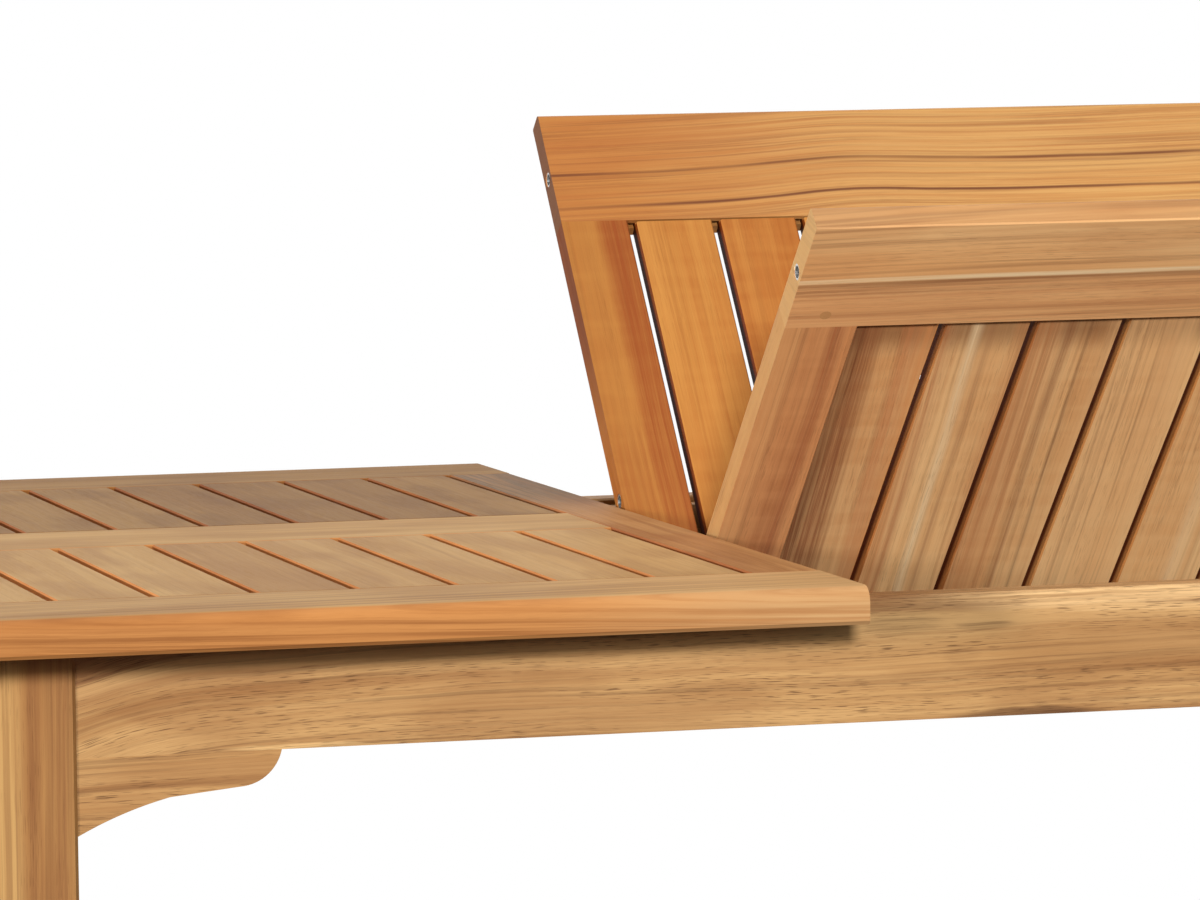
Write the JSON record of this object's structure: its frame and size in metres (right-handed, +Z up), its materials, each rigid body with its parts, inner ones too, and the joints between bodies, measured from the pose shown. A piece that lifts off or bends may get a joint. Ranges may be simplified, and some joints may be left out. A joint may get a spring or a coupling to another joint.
{
  "type": "extension dining table",
  "caption": "Rectangular slatted wooden dining table with sliding tops and a hinged butterfly leaf that turns up out of the frame to lengthen it.",
  "frame": {"origin": "on the floor under the middle of the table", "axes": "+X along the table, +Y to the far side of the pictured view, +Z up"},
  "size_m": [2.498, 1, 1.0225],
  "materials": {
    "top_teak": "planed and sanded teak, dry finish",
    "leaf_teak": "planed and sanded teak, dry finish",
    "frame_teak": "planed and sanded teak, dry finish",
    "inner_wood": "planed teak, unsanded",
    "runner_wood": "planed hardwood, waxed",
    "peg_teak": "teak dowel, end grain showing",
    "brass": "plain brass, slightly dulled",
    "steel": "plain stainless steel"
  },
  "bodies": {
    "frame": {"apron_front": "frame_teak", "apron_left": "frame_teak", "apron_rear": "frame_teak", "apron_right": "frame_teak", "brackets_front_left": "frame_teak", "brackets_front_right": "frame_teak", "brackets_rear_left": "frame_teak", "brackets_rear_right": "frame_teak", "corner_blocks_left": "inner_wood", "corner_blocks_right": "inner_wood", "cross_rail_left": "inner_wood", "cross_rail_right": "inner_wood", "leg_front_left": "frame_teak", "leg_front_right": "frame_teak", "leg_rear_left": "frame_teak", "leg_rear_right": "frame_teak", "pivot_bushes": "brass", "slide_guide_front": "inner_wood", "slide_guide_rear": "inner_wood"},
    "left_top": {"left_top_centre_rail": "top_teak", "left_top_front_rail": "top_teak", "left_top_front_runner": "runner_wood", "left_top_front_slats": "top_teak", "left_top_inner_rail": "top_teak", "left_top_outer_rail": "top_teak", "left_top_pins": "steel", "left_top_rear_rail": "top_teak", "left_top_rear_runner": "runner_wood", "left_top_rear_slats": "top_teak"},
    "right_top": {"right_top_centre_rail": "top_teak", "right_top_front_rail": "top_teak", "right_top_front_runner": "runner_wood", "right_top_front_slats": "top_teak", "right_top_inner_rail": "top_teak", "right_top_outer_rail": "top_teak", "right_top_pins": "steel", "right_top_rear_rail": "top_teak", "right_top_rear_runner": "runner_wood", "right_top_rear_slats": "top_teak"},
    "front_leaf": {"front_leaf_arms": "leaf_teak", "front_leaf_bushes": "steel", "front_leaf_hinge_rail": "leaf_teak", "front_leaf_hinges": "brass", "front_leaf_left_stile": "leaf_teak", "front_leaf_outer_rail": "leaf_teak", "front_leaf_pegs": "peg_teak", "front_leaf_pivot_pins": "steel", "front_leaf_right_stile": "leaf_teak", "front_leaf_slats": "leaf_teak"},
    "rear_leaf": {"rear_leaf_bushes": "steel", "rear_leaf_hinge_rail": "leaf_teak", "rear_leaf_hinges": "brass", "rear_leaf_left_stile": "leaf_teak", "rear_leaf_outer_rail": "leaf_teak", "rear_leaf_pegs": "peg_teak", "rear_leaf_right_stile": "leaf_teak", "rear_leaf_slats": "leaf_teak"}
  },
  "joints": [
    {"name": "left_top_slide", "type": "slide", "parent": "frame", "child": "left_top", "axis": [1, 0, 0], "range_m": [-0.0235, 0.0055]},
    {"name": "right_top_slide", "type": "slide", "parent": "frame", "child": "right_top", "axis": [-1, 0, 0], "range_m": [-0.0235, 0.0055]},
    {"name": "leaf_swing", "type": "hinge", "parent": "frame", "child": "front_leaf", "pos_m": [0, -0.13911, 0.6945], "axis": [1, 0, 0], "range_deg": [-39.1, 43.5]},
    {"name": "leaf_fold", "type": "hinge", "parent": "front_leaf", "child": "rear_leaf", "pos_m": [0, 0, 0.639], "axis": [-1, 0, 0], "range_deg": [-84.4, 93.8]}
  ],
  "couplings": [
    {"joint": "leaf_fold", "follows": "leaf_swing", "ratio": 2.1563}
  ]
}
